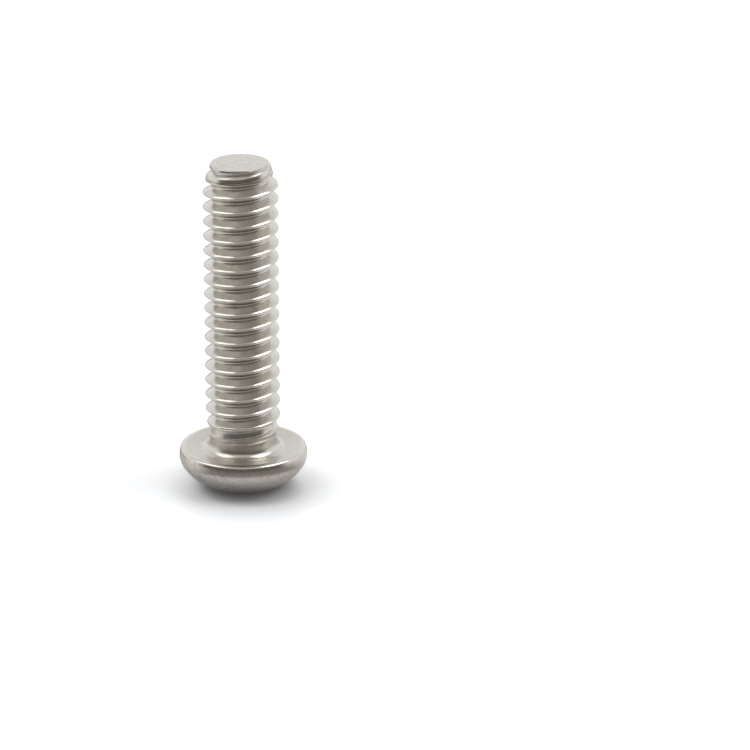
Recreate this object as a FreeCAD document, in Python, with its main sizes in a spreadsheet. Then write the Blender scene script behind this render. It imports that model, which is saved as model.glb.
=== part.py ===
import FreeCAD, Part
import math
import os
from typing import NamedTuple

import Sketcher
from FreeCAD import Vector

# Button head screw with a hexagon socket and a coarse inch thread, 1/4 inch by 1 inch.
# It stands on the flat top of its head: the origin is the middle of that flat, the axis
# is Z, the bearing face looks up and the thread rises from there to the point.
# Lengths are millimetres and angles are degrees.

SIZES = [
    ("head_diameter", 10.8, "widest part of the head"),
    ("head_height", 3.35, "flat top to the ring of the bearing face"),
    ("rim_height", 0.74, "bearing ring to the widest part of the head"),
    ("rim_radius", 1.6, "rounding of the head's side, seen in section"),
    ("dome_radius", 4.25, "arc of the button dome, seen in section"),
    ("flat_diameter", 5.6, "flat on top of the head, up to its soft edge"),
    ("flat_edge_radius", 0.3, "soft edge between the flat and the dome"),
    ("ring_width", 0.4, "flat outer ring of the bearing face"),
    ("hollow_depth", 0.2, "fall of the bearing face from that ring to the neck"),
    ("screw_length", 24.95, "bearing ring to the end of the point"),
    ("neck_diameter", 5.6, "plain blank under the head"),
    ("neck_length", 0.85, "bearing ring to the first rise of the thread"),
    ("neck_fillet", 0.75, "fillet where the neck meets the bearing face"),
    ("runout_length", 1.95, "length over which the crest rises and the root falls"),
    ("thread_diameter", 6.27, "major diameter, over the crests"),
    ("thread_pitch", 1.27, "rise of one turn, 20 turns to the inch, right-hand"),
    ("thread_angle", 60, "angle between the two flanks of the groove"),
    ("crest_width", 0.16, "flat of the crest, along the axis"),
    ("root_width", 0.21, "flat at the bottom of the groove, along the axis"),
    ("thread_phase", -170.7, "where the groove starts, round the axis from +X"),
    ("point_length", 1.95, "full thread to the end face, along the axis"),
    ("point_diameter", 4.93, "narrow end of the taper on that length"),
    ("end_diameter", 4.66, "flat end face"),
    ("end_chamfer_length", 0.1, "chamfer between the taper and the end face, along the axis"),
    ("socket_width", 3.98, "hexagon socket across its flats"),
    ("socket_depth", 2.3, "straight length of the socket"),
    ("mouth_diameter", 4.9, "countersink at the mouth of the socket"),
    ("mouth_angle", 118, "full angle of that countersink"),
    ("drill_diameter", 3.6, "drilled cone that ends the socket"),
    ("drill_angle", 118, "full angle of that cone"),
]

# Sizes that follow from the driving ones, as expressions over the spreadsheet.
TOTAL_LENGTH = "(sizes.head_height + sizes.screw_length)"
NECK_FOOT = "(sizes.head_height - sizes.hollow_depth)"
FILLET_EDGE = "(sizes.neck_diameter / 2 + sizes.neck_fillet)"
NECK_TOP = "(sizes.head_height + sizes.neck_length)"
RUNOUT_TOP = f"({NECK_TOP} + sizes.runout_length)"
TAPER_START = f"({TOTAL_LENGTH} - sizes.point_length)"
CHAMFER_START = f"({TOTAL_LENGTH} - sizes.end_chamfer_length)"
ROOT_RADIUS = (
    "(sizes.thread_diameter / 2 - (sizes.thread_pitch - sizes.crest_width - sizes.root_width)"
    " / 2 / tan(sizes.thread_angle / 2))"
)

# The thread's cutter stands out past the crest by half the crest's width. Its first turn
# ends at the top of the neck, and it leaves the point by more than half a turn.
CUTTER_RADIUS = "(sizes.thread_diameter / 2 + sizes.crest_width / 2)"
CUTTER_WIDTH = (
    "(sizes.thread_pitch - sizes.crest_width"
    " + sizes.crest_width * tan(sizes.thread_angle / 2))"
)
CUTTER_START = f"({NECK_TOP} - {CUTTER_WIDTH} / 2)"
CUTTER_RISE = "(sizes.screw_length - sizes.neck_length + 1.5 * sizes.thread_pitch)"

FULL_TURN = 360
HEXAGON_SIDES = 6

# How a sketch numbers its horizontal axis, its origin and the points of an edge.
HORIZONTAL_AXIS = -1
START, END, CENTRE = 1, 2, 3
ORIGIN = (HORIZONTAL_AXIS, START)
PLANE_NORMAL = Vector(0, 0, 1)


class Edge(NamedTuple):
    """An edge of an outline, with its ends in the outline's own direction."""

    index: int
    first: int
    last: int


class Outline:
    """A sketch whose outline runs anticlockwise and is bound to the spreadsheet."""

    def __init__(self, body, name, plane_role):
        """Make the sketch on one of the body's own origin planes."""
        planes = {feature.Role: feature for feature in body.Origin.OriginFeatures}
        self.sketch = body.newObject("Sketcher::SketchObject", name)
        self.sketch.AttachmentSupport = [(planes[plane_role], "")]
        self.sketch.MapMode = "FlatFace"

    def number(self, expression):
        """Return the value that an expression over the spreadsheet has now."""
        return float(self.sketch.evalExpression(expression))

    def point(self, across, along):
        """Return the sketch point at these two expressions."""
        return Vector(self.number(across), self.number(along), 0)

    def line(self, start, end):
        """Draw a straight edge."""
        return Edge(self.sketch.addGeometry(Part.LineSegment(start, end), False), START, END)

    def arc(self, centre, start, end, hollow=False):
        """Draw an arc, anticlockwise, or clockwise where the outline is hollow."""
        first, last = (end, start) if hollow else (start, end)
        circle = Part.Circle(centre, PLANE_NORMAL, (start - centre).Length)
        from_angle, to_angle = circle.parameter(first), circle.parameter(last)
        if to_angle < from_angle:
            to_angle += 2 * math.pi
        index = self.sketch.addGeometry(Part.ArcOfCircle(circle, from_angle, to_angle), False)
        return Edge(index, END, START) if hollow else Edge(index, START, END)

    def rule(self, kind, *where):
        """Add a geometric constraint."""
        self.sketch.addConstraint(Sketcher.Constraint(kind, *where))

    def close(self, edges, smooth):
        """Join the edges into a loop, tangent after those that are named in smooth."""
        for edge, following in zip(edges, edges[1:] + edges[:1]):
            kind = "Tangent" if edge in smooth else "Coincident"
            self.rule(kind, edge.index, edge.last, following.index, following.first)

    def size(self, name, expression, kind, *where):
        """Add a named dimension that the expression drives."""
        value = self.number(expression)
        if kind == "Angle":
            value = math.radians(value)
        index = self.sketch.addConstraint(Sketcher.Constraint(kind, *where, value))
        self.sketch.renameConstraint(index, name)
        self.sketch.setExpression(f"Constraints.{name}", expression)

    def radius(self, name, expression, edge):
        """Drive the radius of an arc."""
        self.size(name, expression, "Radius", edge.index)

    def across(self, name, expression, index, end):
        """Drive the distance of a point from the vertical axis."""
        self.size(name, expression, "DistanceX", *ORIGIN, index, end)

    def along(self, name, expression, index, end):
        """Drive the height of a point over the horizontal axis."""
        self.size(name, expression, "DistanceY", *ORIGIN, index, end)


def make_sheet(doc):
    """Write each driving size in a row of its own, with its name as the alias."""
    sheet = doc.addObject("Spreadsheet::Sheet", "sizes")
    for row, (alias, value, meaning) in enumerate(SIZES, start=1):
        sheet.set(f"A{row}", alias)
        sheet.set(f"B{row}", str(value))
        sheet.set(f"C{row}", meaning)
        sheet.setAlias(f"B{row}", alias)
    doc.recompute()


def spin(body, kind, name, outline):
    """Turn an outline once round the axis of the screw."""
    feature = body.newObject(f"PartDesign::{kind}", name)
    feature.Profile = outline.sketch
    feature.ReferenceAxis = (outline.sketch, ["V_Axis"])
    feature.Angle = FULL_TURN
    return feature


def make_head(body):
    """Turn the head: flat top, dome and rounded side in tangent arcs, hollow bearing face."""
    head = Outline(body, "HeadOutline", "XZ_Plane")
    flat_edge = head.point("sizes.flat_diameter / 2", "0")
    edge_centre = head.point("sizes.flat_diameter / 2", "sizes.flat_edge_radius")
    rim_across = "(sizes.head_diameter / 2 - sizes.rim_radius)"
    rim_along = "(sizes.head_height - sizes.rim_height)"
    rim_centre = head.point(rim_across, rim_along)
    ring_outer = f"({rim_across} + sqrt(sizes.rim_radius ^ 2 - sizes.rim_height ^ 2))"
    ring_inner = f"({ring_outer} - sizes.ring_width)"
    bearing_edge = head.point(ring_outer, "sizes.head_height")
    hollow_edge = head.point(ring_inner, "sizes.head_height")
    hollow_foot = head.point(FILLET_EDGE, NECK_FOOT)
    bearing_middle = head.point("0", NECK_FOOT)

    # The dome holds both small arcs inside it, so its centre is on a circle round each.
    inside_edge = head.number("sizes.dome_radius - sizes.flat_edge_radius")
    inside_rim = head.number("sizes.dome_radius - sizes.rim_radius")
    crossings = Part.Circle(edge_centre, PLANE_NORMAL, inside_edge).intersectCC(
        Part.Circle(rim_centre, PLANE_NORMAL, inside_rim)
    )
    dome_centre = min((Vector(p.X, p.Y, p.Z) for p in crossings), key=lambda p: p.x)
    dome_radius = head.number("sizes.dome_radius")
    dome_start = dome_centre + (edge_centre - dome_centre).normalize() * dome_radius
    dome_end = dome_centre + (rim_centre - dome_centre).normalize() * dome_radius

    flat = head.line(Vector(), flat_edge)
    edge = head.arc(edge_centre, flat_edge, dome_start)
    dome = head.arc(dome_centre, dome_start, dome_end)
    rim = head.arc(rim_centre, dome_end, bearing_edge)
    ring = head.line(bearing_edge, hollow_edge)
    hollow = head.line(hollow_edge, hollow_foot)
    bottom = head.line(hollow_foot, bearing_middle)
    axis = head.line(bearing_middle, Vector())
    head.close([flat, edge, dome, rim, ring, hollow, bottom, axis], smooth=[flat, edge, dome])
    head.rule("Coincident", flat.index, flat.first, *ORIGIN)
    for level in (flat, ring, bottom):
        head.rule("Horizontal", level.index)
    head.rule("Vertical", axis.index)
    head.across("FlatRadius", "sizes.flat_diameter / 2", flat.index, flat.last)
    head.radius("FlatEdge", "sizes.flat_edge_radius", edge)
    head.radius("Dome", "sizes.dome_radius", dome)
    head.radius("Rim", "sizes.rim_radius", rim)
    head.across("RimAcross", rim_across, rim.index, CENTRE)
    head.along("RimAlong", rim_along, rim.index, CENTRE)
    head.along("HeadHeight", "sizes.head_height", ring.index, ring.last)
    head.across("RingInner", ring_inner, ring.index, ring.last)
    head.across("HollowFoot", FILLET_EDGE, bottom.index, bottom.first)
    head.along("HollowHeight", NECK_FOOT, bottom.index, bottom.first)
    spin(body, "Revolution", "Head", head)


def make_shank(body):
    """Turn the shank over its crests: neck, rise to the full thread, tapered point."""
    shank = Outline(body, "ShankOutline", "XZ_Plane")
    neck, crest = "sizes.neck_diameter / 2", "sizes.thread_diameter / 2"
    point, rim = "sizes.point_diameter / 2", "sizes.end_diameter / 2"
    bottom = shank.point("0", NECK_FOOT)
    foot = shank.point(neck, NECK_FOOT)
    neck_top = shank.point(neck, NECK_TOP)
    thread_start = shank.point(crest, RUNOUT_TOP)
    taper_foot = shank.point(crest, TAPER_START)
    chamfer_foot = shank.point(point, CHAMFER_START)
    end_rim = shank.point(rim, TOTAL_LENGTH)
    top = shank.point("0", TOTAL_LENGTH)

    base = shank.line(bottom, foot)
    side = shank.line(foot, neck_top)
    rise = shank.line(neck_top, thread_start)
    full = shank.line(thread_start, taper_foot)
    taper = shank.line(taper_foot, chamfer_foot)
    chamfer = shank.line(chamfer_foot, end_rim)
    end = shank.line(end_rim, top)
    axis = shank.line(top, bottom)
    shank.close([base, side, rise, full, taper, chamfer, end, axis], smooth=[])
    for level in (base, end):
        shank.rule("Horizontal", level.index)
    for upright in (side, full, axis):
        shank.rule("Vertical", upright.index)
    shank.across("AxisPlace", "0", base.index, base.first)
    shank.along("Bottom", NECK_FOOT, base.index, base.first)
    shank.across("NeckRadius", neck, side.index, side.last)
    shank.along("NeckTop", NECK_TOP, side.index, side.last)
    shank.across("CrestRadius", crest, full.index, full.first)
    shank.along("RunoutTop", RUNOUT_TOP, full.index, full.first)
    shank.along("TaperStart", TAPER_START, full.index, full.last)
    shank.across("PointRadius", point, taper.index, taper.last)
    shank.along("ChamferStart", CHAMFER_START, taper.index, taper.last)
    shank.across("EndRadius", rim, end.index, end.first)
    shank.along("Top", TOTAL_LENGTH, end.index, end.first)
    spin(body, "Revolution", "Shank", shank)


def cut_thread(body):
    """Cut the groove of the thread: a vee with a flat bottom, carried up a helix."""
    vee = Outline(body, "ThreadOutline", "XZ_Plane")
    vee.sketch.AttachmentOffset = FreeCAD.Placement(
        Vector(), FreeCAD.Rotation(Vector(0, 1, 0), vee.number("sizes.thread_phase"))
    )
    vee.sketch.setExpression("AttachmentOffset.Rotation.Angle", "sizes.thread_phase")
    low = vee.point(CUTTER_RADIUS, f"{CUTTER_START} - {CUTTER_WIDTH} / 2")
    high = vee.point(CUTTER_RADIUS, f"{CUTTER_START} + {CUTTER_WIDTH} / 2")
    high_root = vee.point(ROOT_RADIUS, f"{CUTTER_START} + sizes.root_width / 2")
    low_root = vee.point(ROOT_RADIUS, f"{CUTTER_START} - sizes.root_width / 2")

    mouth = vee.line(low, high)
    upper = vee.line(high, high_root)
    root = vee.line(high_root, low_root)
    lower = vee.line(low_root, low)
    vee.close([mouth, upper, root, lower], smooth=[])
    vee.rule("Vertical", mouth.index)
    vee.rule("Vertical", root.index)
    vee.rule("Equal", upper.index, lower.index)
    vee.across("MouthRadius", CUTTER_RADIUS, mouth.index, mouth.first)
    vee.size("MouthWidth", CUTTER_WIDTH, "DistanceY", mouth.index, START, mouth.index, END)
    vee.along("MouthStart", f"{CUTTER_START} - {CUTTER_WIDTH} / 2", mouth.index, mouth.first)
    vee.size("RootWidth", "sizes.root_width", "DistanceY", root.index, END, root.index, START)
    vee.size(
        "Flanks", "sizes.thread_angle", "Angle", lower.index, lower.last, upper.index, upper.first
    )

    groove = body.newObject("PartDesign::SubtractiveHelix", "ThreadGroove")
    groove.Profile = vee.sketch
    groove.ReferenceAxis = (vee.sketch, ["V_Axis"])
    groove.Mode = "pitch-height-angle"
    groove.setExpression("Pitch", "sizes.thread_pitch")
    groove.setExpression("Height", CUTTER_RISE)
    return groove


def fill_neck(body):
    """Turn the solid core of the neck, which fills the groove's start and fades it out."""
    core = Outline(body, "NeckOutline", "XZ_Plane")
    neck = "sizes.neck_diameter / 2"
    fillet_top = f"({NECK_FOOT} + sizes.neck_fillet)"
    # Its foot goes into the head, deeper than the start of the groove does.
    foot = f"({NECK_FOOT} - sizes.neck_fillet)"
    bottom = core.point("0", foot)
    foot_edge = core.point(FILLET_EDGE, foot)
    fillet_foot = core.point(FILLET_EDGE, NECK_FOOT)
    fillet_end = core.point(neck, fillet_top)
    fillet_centre = core.point(FILLET_EDGE, fillet_top)
    neck_top = core.point(neck, NECK_TOP)
    root_start = core.point(ROOT_RADIUS, RUNOUT_TOP)
    top = core.point("0", RUNOUT_TOP)

    base = core.line(bottom, foot_edge)
    wall = core.line(foot_edge, fillet_foot)
    fillet = core.arc(fillet_centre, fillet_foot, fillet_end, hollow=True)
    side = core.line(fillet_end, neck_top)
    fall = core.line(neck_top, root_start)
    end = core.line(root_start, top)
    axis = core.line(top, bottom)
    core.close([base, wall, fillet, side, fall, end, axis], smooth=[fillet])
    for level in (base, end):
        core.rule("Horizontal", level.index)
    for upright in (wall, side, axis):
        core.rule("Vertical", upright.index)
    core.rule("Vertical", fillet.index, fillet.first, fillet.index, CENTRE)
    core.across("AxisPlace", "0", base.index, base.first)
    core.along("Foot", foot, base.index, base.first)
    core.along("NeckFoot", NECK_FOOT, wall.index, wall.last)
    core.radius("Fillet", "sizes.neck_fillet", fillet)
    core.across("NeckRadius", neck, side.index, side.last)
    core.along("NeckTop", NECK_TOP, side.index, side.last)
    core.across("RootRadius", ROOT_RADIUS, end.index, end.first)
    core.along("RunoutTop", RUNOUT_TOP, end.index, end.first)
    spin(body, "Revolution", "Neck", core)


def cut_hexagon(body):
    """Press the hexagon of the socket into the flat top of the head."""
    hexagon = Outline(body, "HexagonOutline", "XY_Plane")
    step = FULL_TURN / HEXAGON_SIDES
    circle_radius = f"sizes.socket_width / 2 / cos({step / 2})"
    radius = hexagon.number(circle_radius)
    angles = [math.radians(step * (side + 0.5)) for side in range(HEXAGON_SIDES)]
    corners = [Vector(radius * math.cos(angle), radius * math.sin(angle), 0) for angle in angles]
    circle = hexagon.sketch.addGeometry(Part.Circle(Vector(), PLANE_NORMAL, radius), True)
    sides = [hexagon.line(a, b) for a, b in zip(corners, corners[1:] + corners[:1])]
    hexagon.close(sides, smooth=[])
    hexagon.rule("Coincident", circle, CENTRE, *ORIGIN)
    for side in sides:
        hexagon.rule("PointOnObject", side.index, side.first, circle)
    for side in sides[1:]:
        hexagon.rule("Equal", sides[0].index, side.index)
    hexagon.rule("Vertical", sides[-1].index)
    hexagon.size("CornerCircle", circle_radius, "Radius", circle)

    pocket = body.newObject("PartDesign::Pocket", "Socket")
    pocket.Profile = hexagon.sketch
    pocket.Reversed = True
    pocket.setExpression("Length", "sizes.socket_depth")
    return pocket


def cut_cone(body, name, diameter, angle, depth):
    """Cut a cone whose base circle lies at this depth below the flat top."""
    cone = Outline(body, f"{name}Outline", "XZ_Plane")
    radius = f"{diameter} / 2"
    tip_depth = f"{depth} + {radius} / tan({angle} / 2)"
    middle, rim = cone.point("0", depth), cone.point(radius, depth)
    tip = cone.point("0", tip_depth)
    base = cone.line(middle, rim)
    slope = cone.line(rim, tip)
    axis = cone.line(tip, middle)
    cone.close([base, slope, axis], smooth=[])
    cone.rule("Horizontal", base.index)
    cone.rule("Vertical", axis.index)
    cone.across("AxisPlace", "0", base.index, base.first)
    cone.across("BaseRadius", radius, base.index, base.last)
    cone.along("BaseDepth", depth, base.index, base.first)
    cone.along("TipDepth", tip_depth, slope.index, slope.last)
    return spin(body, "Groove", name, cone)


def check_cut(doc, cut):
    """Recompute and make sure that the cut has taken material away."""
    doc.recompute()
    if not cut.Shape.Volume < cut.BaseFeature.Shape.Volume:
        raise ValueError(f"{cut.Name} cuts nothing")


def check_document(doc):
    """Make sure that no object of the document has failed."""
    for item in doc.Objects:
        if "Invalid" in item.State or "Error" in item.State:
            raise ValueError(f"{item.Name} has failed")


def make_screw(doc):
    """Build the whole screw as one body, in the order in which it is described."""
    body = doc.addObject("PartDesign::Body", "Screw")
    body.Label = "screw"
    body.Placement = FreeCAD.Placement(Vector(), FreeCAD.Rotation())
    make_head(body)
    make_shank(body)
    check_cut(doc, cut_thread(body))
    fill_neck(body)
    check_cut(doc, cut_hexagon(body))
    drill = cut_cone(body, "Drill", "sizes.drill_diameter", "sizes.drill_angle", "sizes.socket_depth")
    check_cut(doc, drill)
    mouth = cut_cone(body, "Mouth", "sizes.mouth_diameter", "sizes.mouth_angle", "0")
    check_cut(doc, mouth)
    return body


def main():
    """Make the document, check it and write the screw."""
    doc = FreeCAD.newDocument("ButtonHeadScrew")
    make_sheet(doc)
    screw = make_screw(doc)
    check_document(doc)
    if screw.Shape.isNull() or not screw.Shape.isValid():
        raise ValueError("the screw has no valid shape")
    os.makedirs("parts", exist_ok=True)
    screw.Shape.exportStep(f"parts/{screw.Label}.step")


main()
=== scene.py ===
import logging
import math
from dataclasses import dataclass, field
from enum import Enum

import bmesh
import bpy
from bmesh.types import BMEdge, BMesh, BMFace, BMVert
from mathutils import Matrix, Vector


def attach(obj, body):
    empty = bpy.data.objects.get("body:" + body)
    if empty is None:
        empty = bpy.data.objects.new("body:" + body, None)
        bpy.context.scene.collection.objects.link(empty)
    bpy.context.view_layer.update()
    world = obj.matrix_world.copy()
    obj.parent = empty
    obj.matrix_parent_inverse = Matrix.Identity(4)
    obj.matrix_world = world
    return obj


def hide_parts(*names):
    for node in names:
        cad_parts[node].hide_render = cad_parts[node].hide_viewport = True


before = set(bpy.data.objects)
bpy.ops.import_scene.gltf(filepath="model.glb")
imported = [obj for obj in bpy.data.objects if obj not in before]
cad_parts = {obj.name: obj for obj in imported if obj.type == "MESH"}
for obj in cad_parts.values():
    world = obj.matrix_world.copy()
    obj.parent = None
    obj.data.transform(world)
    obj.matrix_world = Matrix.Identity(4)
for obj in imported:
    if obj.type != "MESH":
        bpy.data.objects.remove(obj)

# A button head screw of rolled stainless steel, standing on the flat of its head.
# The meshes are worked out in millimetres and scaled to metres when they are finished.

logging.basicConfig(level=logging.INFO, format="%(message)s")
log = logging.getLogger("screw")

MILLIMETRE = 0.001
WELD = 0.0004
AXIS = Vector((0, 0, 1))
FULL_TURN = 2 * math.pi

# How near a vertex lies to a circle or a line that it was drawn on, in millimetres.
CLOSE = 0.001
NEAR = 0.01

Loop = list[BMEdge]
Span = tuple[float, float]


class Region(Enum):
    """The parts of the surface that carry a finish of their own."""

    THREAD = 0
    HEAD = 1
    SOCKET = 2
    POINT = 3
    BEARING = 4
    RIM = 5


def radius_of(vert: BMVert) -> float:
    """Return how far a vertex is from the axis of the screw."""
    return math.hypot(vert.co.x, vert.co.y)


def blend(value: float, stops: tuple[float, ...], results: tuple[float, ...]) -> float:
    """Read a broken line.

    Args:
        value: Where to read it.
        stops: Rising places of its corners.
        results: Its height at each of those places.

    Returns:
        The height at the value, level beyond both ends.
    """
    if value <= stops[0]:
        return results[0]
    for low, high, before, after in zip(stops, stops[1:], results, results[1:]):
        if value <= high:
            return before + (after - before) * (value - low) / (high - low)
    return results[-1]


def draw_ring(bm: BMesh, loop: Loop, height: float, radius: float, corners: int = 0) -> Loop:
    """Extrude a loop round the axis to a new height and outline.

    Args:
        bm: The mesh that holds the loop.
        loop: The edges of the loop.
        height: Height of the new loop.
        radius: Radius of the new circle, or half the width across flats.
        corners: Number of the new outline's corners, or 0 for a circle.

    Returns:
        The edges of the new loop.
    """
    geometry = bmesh.ops.extrude_edge_only(bm, edges=loop)["geom"]
    for vert in (item for item in geometry if isinstance(item, BMVert)):
        reach = radius
        if corners:
            reach = polygon_reach(math.atan2(vert.co.y, vert.co.x), radius, corners)
        scale = reach / radius_of(vert)
        vert.co = (vert.co.x * scale, vert.co.y * scale, height)
    return [item for item in geometry if isinstance(item, BMEdge)]


def polygon_reach(angle: float, half_width: float, corners: int) -> float:
    """Return how far a polygon with a flat on +X reaches in a direction."""
    step = FULL_TURN / corners
    return half_width / math.cos((angle + step / 2) % step - step / 2)


def close_loop(bm: BMesh, loop: Loop, height: float) -> None:
    """Close a loop with a fan of faces that meet on the axis.

    Args:
        bm: The mesh that holds the loop.
        loop: The edges of the loop.
        height: Height of the point where they meet.
    """
    geometry = bmesh.ops.extrude_edge_only(bm, edges=loop)["geom"]
    tip = [item for item in geometry if isinstance(item, BMVert)]
    bmesh.ops.pointmerge(bm, verts=tip, merge_co=(0, 0, height))


def border(bm: BMesh, height: float) -> Loop:
    """Return the open edges that lie at this height."""
    return [
        edge
        for edge in bm.edges
        if edge.is_boundary and all(abs(vert.co.z - height) < WELD for vert in edge.verts)
    ]


class ProfilePen:
    """Draws the section of a turned part as a chain of edges in the XZ plane."""

    def __init__(self, bm: BMesh, across: float, along: float) -> None:
        """Put the pen down.

        Args:
            bm: The mesh that receives the section.
            across: Distance of the first point from the axis.
            along: Height of the first point.
        """
        self.bm = bm
        self.tip = bm.verts.new((across, 0, along))

    def line(self, across: float, along: float, pieces: int = 1) -> None:
        """Draw a straight run to a point.

        Args:
            across: Distance of the point from the axis.
            along: Height of the point.
            pieces: Number of edges in the run.
        """
        step = (Vector((across, 0, along)) - self.tip.co) / pieces
        for _ in range(pieces):
            made = bmesh.ops.extrude_vert_indiv(self.bm, verts=[self.tip])
            self.tip = made["verts"][0]
            self.tip.co += step

    def arc(self, centre: Vector, turn: float, pieces: int) -> None:
        """Draw an arc by swinging the pen round a centre.

        Args:
            centre: Middle of the arc, as a point of the XZ plane.
            turn: Angle of the swing about +Y, in radians.
            pieces: Number of edges in the arc.
        """
        made = bmesh.ops.spin(
            self.bm, geom=[self.tip], cent=centre, axis=(0, 1, 0), angle=turn, steps=pieces
        )
        self.tip = made["geom_last"][0]

    def turn_round(self, steps: int) -> None:
        """Spin the whole section once round the axis of the screw."""
        bmesh.ops.spin(
            self.bm,
            geom=self.bm.verts[:] + self.bm.edges[:],
            cent=(0, 0, 0),
            axis=AXIS,
            angle=FULL_TURN,
            steps=steps,
            use_merge=True,
        )


@dataclass(frozen=True)
class ThreadedShank:
    """The shank: neck, rolled thread and narrowed point."""

    neck_radius: float = 2.8
    neck_foot: float = 3.15
    neck_top: float = 4.2
    neck_fillet: float = 0.75
    runout_top: float = 6.15
    crest_radius: float = 3.135
    root_radius: float = 2.3556
    pitch: float = 1.27
    crest_half: float = 0.08
    shoulder_depth: float = 0.11
    shoulder_narrowing: float = 0.0465
    root_half: float = 0.105
    flank_lean: float = math.tan(math.radians(30))
    groove_height: float = 4.2011
    taper_start: float = 26.35
    taper_end: float = 28.2
    taper_radius: float = 2.465
    end_height: float = 28.3
    end_rounding: float = 0.14
    crest_rounding: float = 0.06
    shoulder_rounding: float = 0.3
    root_rounding: float = 0.09
    crest_turn: float = 45
    shoulder_turn: float = 15
    root_turn: float = 60
    corner_guard: float = 0.09
    least_flank: float = 0.01
    seam_share: float = 0.3
    seam_deepest: float = 0.11
    steps_in_turn: int = 128
    end_cuts: int = 12
    end_zone: float = 1.2
    end_rings: tuple[float, ...] = (0.9, 0.6, 0.3)
    fillet_pieces: int = 8
    settling_rounds: int = 4

    def groove_middle(self, angle: float) -> float:
        """Return the height of the first groove's middle at an angle round the axis."""
        return self.groove_height + self.pitch * angle / FULL_TURN

    def across(self, vert: BMVert) -> float:
        """Return how far a vertex is above the middle of its own groove."""
        middle = self.groove_middle(math.atan2(vert.co.y, vert.co.x))
        return (vert.co.z - middle + self.pitch / 2) % self.pitch - self.pitch / 2

    def shoulder(self) -> float:
        """Return how far the shoulder of the crest is above the middle of the groove."""
        return self.pitch / 2 - self.crest_half - self.shoulder_depth * self.flank_lean

    def taper_slope(self) -> float:
        """Return how fast the taper narrows."""
        return (self.crest_radius - self.taper_radius) / (self.taper_end - self.taper_start)

    def crest_at(self, height: float) -> float:
        """Find how far the blank lets the crest reach.

        Args:
            height: Height above the flat of the head.

        Returns:
            The radius of the crest there.
        """
        if height > self.taper_start:
            return self.crest_radius - self.taper_slope() * (height - self.taper_start)
        return blend(
            height, (self.neck_top, self.runout_top), (self.neck_radius, self.crest_radius)
        )

    def core_at(self, height: float) -> float:
        """Return the radius below which the groove doesn't go at a height."""
        return blend(
            height, (self.neck_top, self.runout_top), (self.neck_radius, self.root_radius)
        )

    def end_radius_at(self, height: float) -> float:
        """Follow the rounded edge of the end face.

        Args:
            height: Height above the flat of the head.

        Returns:
            The radius of the point there.
        """
        lean = math.atan(self.taper_slope())
        edge = self.end_rounding
        centre_height = self.end_height - edge
        touch_height = centre_height + edge * math.sin(lean)
        touch_radius = self.crest_at(touch_height)
        centre_radius = touch_radius - edge * math.cos(lean)
        if height < touch_height:
            return self.crest_at(height)
        rise = min(1.0, (height - centre_height) / edge)
        return centre_radius + edge * math.sqrt(1 - rise * rise)

    def roll(self, bm: BMesh) -> None:
        """Sweep one pitch of the thread up its helix, well past both ends.

        Args:
            bm: An empty mesh.
        """
        half = self.pitch / 2
        guard = self.corner_guard
        shoulder = self.shoulder()
        sides = [
            (half, self.crest_radius),
            (half - self.crest_half + self.shoulder_narrowing, self.crest_radius),
            (shoulder, self.crest_radius - self.shoulder_depth),
            (shoulder - guard * self.flank_lean, self.crest_radius - self.shoulder_depth - guard),
            (self.root_half + guard * self.flank_lean, self.root_radius + guard),
            (self.root_half, self.root_radius),
        ]
        section = [(-rise, reach) for rise, reach in sides] + sides[::-1]
        start = self.groove_height - 2 * self.pitch
        pen = ProfilePen(bm, section[0][1], start + section[0][0])
        for rise, reach in section[1:]:
            pen.line(reach, start + rise)
        bmesh.ops.spin(
            bm,
            geom=bm.verts[:] + bm.edges[:],
            cent=(0, 0, 0),
            axis=AXIS,
            dvec=(0, 0, self.pitch / self.steps_in_turn),
            angle=FULL_TURN,
            steps=self.steps_in_turn,
        )
        first_turn = bm.verts[:] + bm.edges[:] + bm.faces[:]
        for number in range(1, math.ceil((self.end_height - start) / self.pitch + 1)):
            copied = bmesh.ops.duplicate(bm, geom=first_turn)["geom"]
            verts = [item for item in copied if isinstance(item, BMVert)]
            bmesh.ops.translate(bm, vec=AXIS * self.pitch * number, verts=verts)
        bmesh.ops.remove_doubles(bm, verts=bm.verts[:], dist=WELD)

    def soften(self, bm: BMesh) -> None:
        """Round the corners of the crest and of the root along the whole helix.

        Args:
            bm: The mesh of the rolled thread.
        """
        crest_edge = self.pitch / 2 - self.crest_half + self.shoulder_narrowing
        shoulder_reach = self.crest_radius - self.shoulder_depth
        corners = (
            (crest_edge, self.crest_radius, self.crest_rounding, self.crest_turn),
            (self.shoulder(), shoulder_reach, self.shoulder_rounding, self.shoulder_turn),
            (self.root_half, self.root_radius, self.root_rounding, self.root_turn),
        )
        for place, reach, rounding, turn in corners:
            along = {
                vert
                for vert in bm.verts
                if abs(abs(self.across(vert)) - place) < NEAR and abs(radius_of(vert) - reach) < NEAR
            }
            edges = [
                edge
                for edge in bm.edges
                if edge.verts[0] in along
                and edge.verts[1] in along
                and self.across(edge.verts[0]) * self.across(edge.verts[1]) > 0
            ]
            bmesh.ops.bevel(
                bm,
                geom=edges,
                offset=rounding * math.tan(math.radians(turn / 2)),
                offset_type="OFFSET",
                affect="EDGES",
                segments=3,
                profile=0.5,
                material=-1,
                clamp_overlap=False,
            )

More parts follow.
